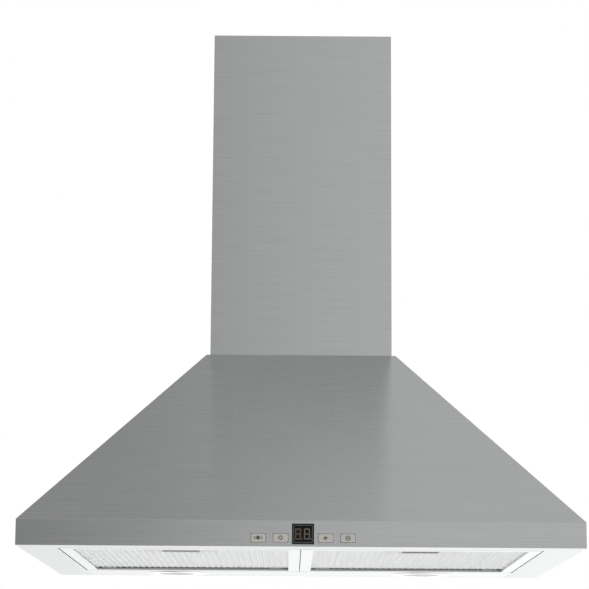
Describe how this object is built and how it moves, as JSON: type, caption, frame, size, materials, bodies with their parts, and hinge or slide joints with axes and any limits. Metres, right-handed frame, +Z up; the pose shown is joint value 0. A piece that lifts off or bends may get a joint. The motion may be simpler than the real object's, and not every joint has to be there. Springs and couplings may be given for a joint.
{
  "type": "wall-mounted chimney range hood",
  "caption": "Pyramid canopy range hood for a wall, with drop-down grease filters, lamps, a key panel, a blower with backdraft flaps and a telescopic chimney.",
  "frame": {"origin": "middle of the lower edge of the rear face that lies on the wall, level with the underside of the canopy", "axes": "+X to the right seen from the front, +Y into the wall, +Z up"},
  "size_m": [0.6, 0.4818, 0.6424],
  "materials": {
    "steel": "satin, fine horizontal grain",
    "zinc": "galvanised, dull",
    "aluminium": "satin",
    "bright": "bright zinc",
    "black_plastic": "fine texture",
    "white_plastic": "fine texture",
    "key_plastic": "satin",
    "window": "smoked, clear",
    "digit": "unlit segment",
    "board": "solder mask",
    "lens": "frosted",
    "bulb": "frosted",
    "copper": "varnished winding",
    "motor_paint": "satin",
    "rubber": "matte",
    "fan_plastic": "moulded",
    "nylon": "smooth"
  },
  "bodies": {
    "hood": {"canopy_shell": "steel", "back_plate": "zinc", "back_plate_rivets": "bright", "lamp_panel": "steel", "lamp_panel_nuts": "bright", "filter_rail": "zinc", "lower_chimney": "steel", "lower_chimney_bracket": "zinc", "lower_chimney_screws": "bright", "top_plate": "zinc", "outlet_collar": "black_plastic", "collar_flange": "black_plastic", "blower_screws": "bright", "damper_rod": "bright", "scroll_left": "zinc", "scroll_right": "zinc", "motor_can": "motor_paint", "motor_stator": "copper", "motor_bearings": "bright", "motor_bracket": "zinc", "motor_grommets": "rubber", "lamp_ring_left": "bright", "lamp_ring_right": "bright", "lamp_lens_left": "lens", "lamp_lens_right": "lens", "lamp_cans": "zinc", "lamp_bulbs": "bulb", "display_bezel": "black_plastic", "display_window": "window", "display_module": "black_plastic", "display_digits": "digit", "control_board": "board", "key_switches": "black_plastic", "control_carrier": "white_plastic", "terminal_box": "white_plastic", "terminal_lid": "white_plastic", "cable_gland": "black_plastic", "capacitor": "white_plastic"},
    "sliding_chimney": {"upper_chimney": "steel", "glide_pads": "nylon", "ceiling_bracket": "zinc", "ceiling_bracket_rivets": "bright"},
    "damper_front": {"damper_front": "black_plastic"},
    "damper_rear": {"damper_rear": "black_plastic"},
    "fan": {"impeller": "fan_plastic", "rotor_shaft": "bright"},
    "filter_left": {"filter_left_frame": "aluminium", "filter_left_media": "aluminium", "filter_left_grille": "aluminium", "latch_housing_left": "white_plastic"},
    "filter_right": {"filter_right_frame": "aluminium", "filter_right_media": "aluminium", "filter_right_grille": "aluminium", "latch_housing_right": "white_plastic"},
    "latch_left": {"latch_bolt_left": "black_plastic"},
    "latch_right": {"latch_bolt_right": "black_plastic"},
    "light_key": {"light_key": "key_plastic"},
    "down_key": {"down_key": "key_plastic"},
    "fan_key": {"fan_key": "key_plastic"},
    "power_key": {"power_key": "key_plastic"}
  },
  "joints": [
    {"name": "chimney_lift", "type": "slide", "parent": "hood", "child": "sliding_chimney", "axis": [0, 0, 1], "range_m": [0, 0.3]},
    {"name": "fan_spin", "type": "hinge", "parent": "hood", "child": "fan", "pos_m": [0, -0.153, 0.126], "axis": [1, 0, 0], "continuous": true},
    {"name": "damper_front_swing", "type": "hinge", "parent": "hood", "child": "damper_front", "pos_m": [0, -0.1075, 0.272], "axis": [-1, 0, 0], "range_deg": [0, 75]},
    {"name": "damper_rear_swing", "type": "hinge", "parent": "hood", "child": "damper_rear", "pos_m": [0, -0.1075, 0.272], "axis": [1, 0, 0], "range_deg": [0, 75]},
    {"name": "filter_left_drop", "type": "hinge", "parent": "hood", "child": "filter_left", "pos_m": [-0.1292, -0.0916, 0.006], "axis": [1, 0, 0], "range_deg": [0, 75]},
    {"name": "filter_right_drop", "type": "hinge", "parent": "hood", "child": "filter_right", "pos_m": [0.1292, -0.0916, 0.006], "axis": [1, 0, 0], "range_deg": [0, 75]},
    {"name": "latch_left_pull", "type": "slide", "parent": "filter_left", "child": "latch_left", "axis": [0, 1, 0], "range_m": [0, 0.006], "stiffness_N_per_m": 250, "springref_m": -0.004},
    {"name": "latch_right_pull", "type": "slide", "parent": "filter_right", "child": "latch_right", "axis": [0, 1, 0], "range_m": [0, 0.006], "stiffness_N_per_m": 250, "springref_m": -0.004},
    {"name": "light_key_press", "type": "slide", "parent": "hood", "child": "light_key", "axis": [0, 1, 0], "range_m": [0, 0.0012], "stiffness_N_per_m": 500, "springref_m": -0.0008},
    {"name": "down_key_press", "type": "slide", "parent": "hood", "child": "down_key", "axis": [0, 1, 0], "range_m": [0, 0.0012], "stiffness_N_per_m": 500, "springref_m": -0.0008},
    {"name": "fan_key_press", "type": "slide", "parent": "hood", "child": "fan_key", "axis": [0, 1, 0], "range_m": [0, 0.0012], "stiffness_N_per_m": 500, "springref_m": -0.0008},
    {"name": "power_key_press", "type": "slide", "parent": "hood", "child": "power_key", "axis": [0, 1, 0], "range_m": [0, 0.0012], "stiffness_N_per_m": 500, "springref_m": -0.0008}
  ]
}
